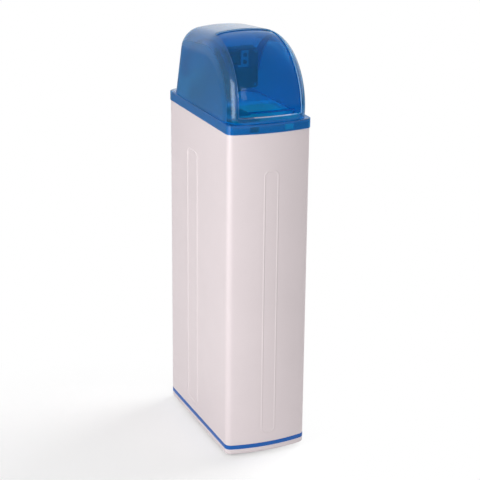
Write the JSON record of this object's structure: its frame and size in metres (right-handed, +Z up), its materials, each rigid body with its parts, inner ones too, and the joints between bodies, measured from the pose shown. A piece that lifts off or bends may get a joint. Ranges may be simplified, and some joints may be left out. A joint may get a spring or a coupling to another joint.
{
  "type": "cabinet water softener",
  "caption": "Slim upright cabinet water softener with a bowed pale cabinet, a see-through blue hood with a roll-back visor, and the vessel, valve and brine parts inside.",
  "frame": {"origin": "on the floor, at the middle of the footprint", "axes": "+Z up, the bowed front and visor face -Y, the pipe tails face +Y, +X to the right seen from the front"},
  "size_m": [0.226, 0.4439, 1.0938],
  "materials": {
    "body_white": "smooth satin blow moulding",
    "band_blue": "smooth gloss",
    "hood_blue": "see-through tinted gloss",
    "visor_blue": "see-through tinted gloss",
    "pale_plastic": "natural moulding",
    "tube_clear": "natural tubing",
    "black_plastic": "fine moulded grain",
    "black_rubber": "matte",
    "vessel_skin": "wound fibre under resin",
    "seal_tan": "moulded",
    "piston_grey": "polished",
    "gear_white": "moulded",
    "brass": "turned",
    "steel": "bright",
    "board_green": "solder mask",
    "cover_navy": "fine moulded grain",
    "lens": "gloss",
    "bezel_pale": "smooth",
    "button_dark": "smooth"
  },
  "bodies": {
    "cabinet": {"cabinet_shell": "body_white", "base_band": "band_blue", "top_deck": "pale_plastic", "salt_grid": "pale_plastic", "brine_well": "pale_plastic", "well_cap": "pale_plastic", "riser_tube": "pale_plastic", "lower_basket": "pale_plastic", "upper_basket": "pale_plastic", "brine_pickup": "tube_clear", "brine_line": "tube_clear", "brine_valve": "black_plastic", "overflow_nut": "black_plastic", "valve_body": "black_plastic", "piston_plug": "black_plastic", "injector_cap": "black_plastic", "brine_elbow": "black_plastic", "union_nuts": "black_plastic", "drain_fitting": "black_plastic", "vessel_boot": "black_plastic", "power_socket": "black_plastic", "drive_plate": "black_plastic", "feet": "black_rubber", "overflow_bush": "black_rubber", "tank_seal": "black_rubber", "vessel": "vessel_skin", "seal_stack": "seal_tan", "inlet_tail": "brass", "outlet_tail": "brass", "motor": "steel", "cover_screws": "steel", "circuit_board": "board_green", "upper_cover": "cover_navy", "lower_cover": "cover_navy", "display_lens": "lens", "button_bezel": "bezel_pale"},
    "hood": {"hood": "hood_blue"},
    "visor": {"visor": "visor_blue"},
    "button_up": {"button_up": "button_dark"},
    "button_down": {"button_down": "button_dark"},
    "drive_gear": {"drive_gear": "gear_white"},
    "motor_pinion": {"motor_pinion": "brass"},
    "piston": {"piston": "piston_grey"},
    "float": {"float": "pale_plastic"}
  },
  "joints": [
    {"name": "hood_lift", "type": "slide", "parent": "cabinet", "child": "hood", "axis": [0, 0, 1], "range_m": [0, 0.3]},
    {"name": "visor_roll", "type": "hinge", "parent": "hood", "child": "visor", "pos_m": [0, -0.04, 0.914], "axis": [-1, 0, 0], "range_deg": [0, 70]},
    {"name": "button_up_press", "type": "slide", "parent": "cabinet", "child": "button_up", "axis": [0, 1, 0], "range_m": [0, 0.0012], "stiffness_N_per_m": 400, "springref_m": -0.0005},
    {"name": "button_down_press", "type": "slide", "parent": "cabinet", "child": "button_down", "axis": [0, 1, 0], "range_m": [0, 0.0012], "stiffness_N_per_m": 400, "springref_m": -0.0005},
    {"name": "gear_spin", "type": "hinge", "parent": "cabinet", "child": "drive_gear", "pos_m": [0, 0.023, 0.968], "axis": [0, 1, 0], "range_deg": [0, 360]},
    {"name": "pinion_spin", "type": "hinge", "parent": "cabinet", "child": "motor_pinion", "pos_m": [0.01937, 0.023, 1.00156], "axis": [0, 1, 0], "range_deg": [-1235, 0]},
    {"name": "piston_slide", "type": "slide", "parent": "cabinet", "child": "piston", "axis": [0, 1, 0], "range_m": [0, 0.01201]},
    {"name": "float_rise", "type": "slide", "parent": "cabinet", "child": "float", "axis": [0, 0, 1], "range_m": [0, 0.03]}
  ],
  "couplings": [
    {"joint": "pinion_spin", "follows": "gear_spin", "ratio": -3.4286},
    {"joint": "piston_slide", "follows": "gear_spin", "m_per_rad": 0.0019099}
  ]
}
